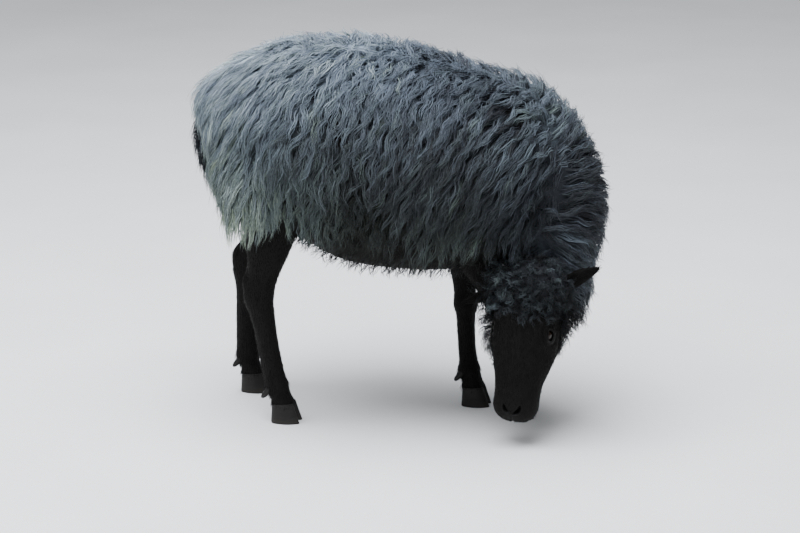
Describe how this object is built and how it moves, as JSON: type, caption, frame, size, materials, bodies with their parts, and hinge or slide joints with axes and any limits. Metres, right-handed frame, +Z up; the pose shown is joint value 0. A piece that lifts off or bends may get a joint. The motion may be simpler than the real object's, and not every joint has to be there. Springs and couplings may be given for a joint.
{
  "type": "grazing sheep",
  "caption": "Long-woolled landrace ewe standing to graze, head down and turned to her right, as a life-size still figure.",
  "frame": {"origin": "on the ground under the middle of the animal's bounding box", "axes": "+X towards the chest, -Y towards the animal's right side, +Z up"},
  "size_m": [0.7484, 0.414, 0.6801],
  "materials": {
    "wool_grey": "matte long wool, blue-grey",
    "wool_dark": "matte long wool, charcoal",
    "face_hair": "short smooth black hair on skin",
    "horn": "worn dark horn",
    "eye": "wet and glossy, dark brown"
  },
  "bodies": {
    "root": {"torso": "wool_grey", "neck": "wool_dark", "tail": "wool_dark", "head": "face_hair", "ear_left": "face_hair", "ear_right": "face_hair", "eye_left": "eye", "eye_right": "eye", "foreleg_left": "face_hair", "foreleg_right": "face_hair", "hindleg_left": "face_hair", "hindleg_right": "face_hair", "claw_fore_left_inner": "horn", "claw_fore_left_outer": "horn", "claw_fore_right_inner": "horn", "claw_fore_right_outer": "horn", "claw_hind_left_inner": "horn", "claw_hind_left_outer": "horn", "claw_hind_right_inner": "horn", "claw_hind_right_outer": "horn", "dewclaw_fore_left_inner": "horn", "dewclaw_fore_left_outer": "horn", "dewclaw_fore_right_inner": "horn", "dewclaw_fore_right_outer": "horn", "dewclaw_hind_left_inner": "horn", "dewclaw_hind_left_outer": "horn", "dewclaw_hind_right_inner": "horn", "dewclaw_hind_right_outer": "horn"}
  },
  "joints": []
}
